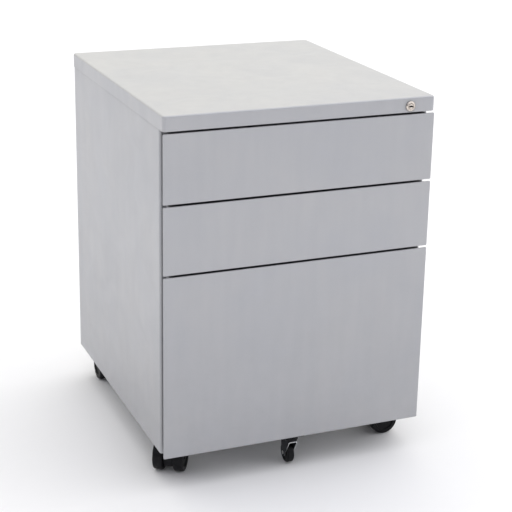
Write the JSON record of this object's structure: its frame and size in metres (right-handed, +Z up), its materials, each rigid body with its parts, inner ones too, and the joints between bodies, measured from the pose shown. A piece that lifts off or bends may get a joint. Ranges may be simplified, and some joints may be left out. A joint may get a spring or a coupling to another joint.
{
  "type": "rolling pedestal cabinet",
  "caption": "Mobile steel pedestal with full-width drawer fronts, side finger recesses, a cam lock in the top rail, twin-wheel castors and an anti-tip castor under the file drawer.",
  "frame": {"origin": "on the floor, under the middle of the whole cabinet's box", "axes": "+Z up, +X to the right as seen from the drawers' side, drawers open towards -Y"},
  "size_m": [0.46, 0.511, 0.625],
  "materials": {
    "paint": "silver-grey powder coat, fine texture, satin",
    "tray": "light grey powder coat, satin",
    "zinc": "bright zinc plate",
    "nickel": "polished nickel plate",
    "nylon": "black moulded nylon, satin"
  },
  "bodies": {
    "cabinet": {"top_cover": "paint", "left_side_panel": "paint", "right_side_panel": "paint", "back_panel": "paint", "base_pan": "paint", "front_top_rail": "paint", "left_upper_runner_cabinet_member": "zinc", "right_upper_runner_cabinet_member": "zinc", "left_middle_runner_cabinet_member": "zinc", "right_middle_runner_cabinet_member": "zinc", "left_file_runner_cabinet_member": "zinc", "right_file_runner_cabinet_member": "zinc", "lock_barrel": "nickel", "lock_nut": "zinc", "upper_lock_bar_guide": "zinc", "lower_lock_bar_guide": "zinc", "front_left_castor_stem": "zinc", "front_right_castor_stem": "zinc", "back_left_castor_stem": "zinc", "back_right_castor_stem": "zinc"},
    "upper_drawer": {"upper_drawer_front": "paint", "upper_drawer_tray": "tray", "upper_drawer_catch": "zinc", "left_upper_runner_drawer_member": "zinc", "right_upper_runner_drawer_member": "zinc"},
    "middle_drawer": {"middle_drawer_front": "paint", "middle_drawer_tray": "tray", "middle_drawer_catch": "zinc", "left_middle_runner_drawer_member": "zinc", "right_middle_runner_drawer_member": "zinc"},
    "file_drawer": {"file_drawer_front": "paint", "file_drawer_tray": "tray", "file_drawer_catch": "zinc", "left_file_runner_drawer_member": "zinc", "right_file_runner_drawer_member": "zinc", "fifth_castor_bracket": "nylon"},
    "file_middle_members": {"left_file_runner_middle_member": "zinc", "right_file_runner_middle_member": "zinc"},
    "lock_plug": {"lock_plug": "nickel", "lock_cam": "zinc"},
    "lock_bar": {"lock_bar": "zinc"},
    "front_left_castor_swivel": {"front_left_castor_hood": "nylon", "front_left_castor_axle": "zinc"},
    "front_left_castor_left_wheel": {"front_left_castor_left_wheel": "nylon"},
    "front_left_castor_right_wheel": {"front_left_castor_right_wheel": "nylon"},
    "front_right_castor_swivel": {"front_right_castor_hood": "nylon", "front_right_castor_axle": "zinc"},
    "front_right_castor_left_wheel": {"front_right_castor_left_wheel": "nylon"},
    "front_right_castor_right_wheel": {"front_right_castor_right_wheel": "nylon"},
    "back_left_castor_swivel": {"back_left_castor_hood": "nylon", "back_left_castor_axle": "zinc"},
    "back_left_castor_left_wheel": {"back_left_castor_left_wheel": "nylon"},
    "back_left_castor_right_wheel": {"back_left_castor_right_wheel": "nylon"},
    "back_right_castor_swivel": {"back_right_castor_hood": "nylon", "back_right_castor_axle": "zinc"},
    "back_right_castor_left_wheel": {"back_right_castor_left_wheel": "nylon"},
    "back_right_castor_right_wheel": {"back_right_castor_right_wheel": "nylon"},
    "fifth_castor_swivel": {"fifth_castor_fork": "zinc", "fifth_castor_axle": "zinc"},
    "fifth_castor_wheel": {"fifth_castor_wheel": "nylon"}
  },
  "joints": [
    {"name": "upper_drawer_slide", "type": "slide", "parent": "cabinet", "child": "upper_drawer", "axis": [0, -1, 0], "range_m": [0, 0.3]},
    {"name": "middle_drawer_slide", "type": "slide", "parent": "cabinet", "child": "middle_drawer", "axis": [0, -1, 0], "range_m": [0, 0.3]},
    {"name": "file_drawer_slide", "type": "slide", "parent": "cabinet", "child": "file_drawer", "axis": [0, -1, 0], "range_m": [0, 0.43]},
    {"name": "file_middle_member_slide", "type": "slide", "parent": "cabinet", "child": "file_middle_members", "axis": [0, -1, 0], "range_m": [0, 0.215]},
    {"name": "lock_turn", "type": "hinge", "parent": "cabinet", "child": "lock_plug", "pos_m": [0.1855, -0.2525, 0.611], "axis": [0, 1, 0], "range_deg": [0, 90]},
    {"name": "lock_bar_slide", "type": "slide", "parent": "cabinet", "child": "lock_bar", "axis": [0, 0, -1], "range_m": [0, 0.00989]},
    {"name": "front_left_castor_swivel", "type": "hinge", "parent": "cabinet", "child": "front_left_castor_swivel", "pos_m": [-0.1825, -0.1625, 0.025], "axis": [0, 0, 1], "continuous": true},
    {"name": "front_left_castor_left_wheel_spin", "type": "hinge", "parent": "front_left_castor_swivel", "child": "front_left_castor_left_wheel", "pos_m": [-0.19339, -0.17927, 0.025], "axis": [0.8387, -0.5446, 0], "continuous": true},
    {"name": "front_left_castor_right_wheel_spin", "type": "hinge", "parent": "front_left_castor_swivel", "child": "front_left_castor_right_wheel", "pos_m": [-0.19339, -0.17927, 0.025], "axis": [0.8387, -0.5446, 0], "continuous": true},
    {"name": "front_right_castor_swivel", "type": "hinge", "parent": "cabinet", "child": "front_right_castor_swivel", "pos_m": [0.1825, -0.1625, 0.025], "axis": [0, 0, 1], "continuous": true},
    {"name": "front_right_castor_left_wheel_spin", "type": "hinge", "parent": "front_right_castor_swivel", "child": "front_right_castor_left_wheel", "pos_m": [0.20245, -0.1611, 0.025], "axis": [-0.0698, 0.9976, 0], "continuous": true},
    {"name": "front_right_castor_right_wheel_spin", "type": "hinge", "parent": "front_right_castor_swivel", "child": "front_right_castor_right_wheel", "pos_m": [0.20245, -0.1611, 0.025], "axis": [-0.0698, 0.9976, 0], "continuous": true},
    {"name": "back_left_castor_swivel", "type": "hinge", "parent": "cabinet", "child": "back_left_castor_swivel", "pos_m": [-0.1825, 0.1935, 0.025], "axis": [0, 0, 1], "continuous": true},
    {"name": "back_left_castor_left_wheel_spin", "type": "hinge", "parent": "back_left_castor_swivel", "child": "back_left_castor_left_wheel", "pos_m": [-0.18215, 0.2135, 0.025], "axis": [-0.9998, 0.0175, 0], "continuous": true},
    {"name": "back_left_castor_right_wheel_spin", "type": "hinge", "parent": "back_left_castor_swivel", "child": "back_left_castor_right_wheel", "pos_m": [-0.18215, 0.2135, 0.025], "axis": [-0.9998, 0.0175, 0], "continuous": true},
    {"name": "back_right_castor_swivel", "type": "hinge", "parent": "cabinet", "child": "back_right_castor_swivel", "pos_m": [0.1825, 0.1935, 0.025], "axis": [0, 0, 1], "continuous": true},
    {"name": "back_right_castor_left_wheel_spin", "type": "hinge", "parent": "back_right_castor_swivel", "child": "back_right_castor_left_wheel", "pos_m": [0.19095, 0.21163, 0.025], "axis": [-0.9063, 0.4226, 0], "continuous": true},
    {"name": "back_right_castor_right_wheel_spin", "type": "hinge", "parent": "back_right_castor_swivel", "child": "back_right_castor_right_wheel", "pos_m": [0.19095, 0.21163, 0.025], "axis": [-0.9063, 0.4226, 0], "continuous": true},
    {"name": "fifth_castor_swivel", "type": "hinge", "parent": "file_drawer", "child": "fifth_castor_swivel", "pos_m": [0, -0.2375, 0.019], "axis": [0, 0, 1], "continuous": true},
    {"name": "fifth_castor_wheel_spin", "type": "hinge", "parent": "fifth_castor_swivel", "child": "fifth_castor_wheel", "pos_m": [0, -0.2245, 0.019], "axis": [1, 0, 0], "continuous": true}
  ],
  "couplings": [
    {"joint": "file_middle_member_slide", "follows": "file_drawer_slide", "ratio": 0.5},
    {"joint": "lock_turn", "follows": "lock_bar_slide", "rad_per_m": 158.73}
  ]
}
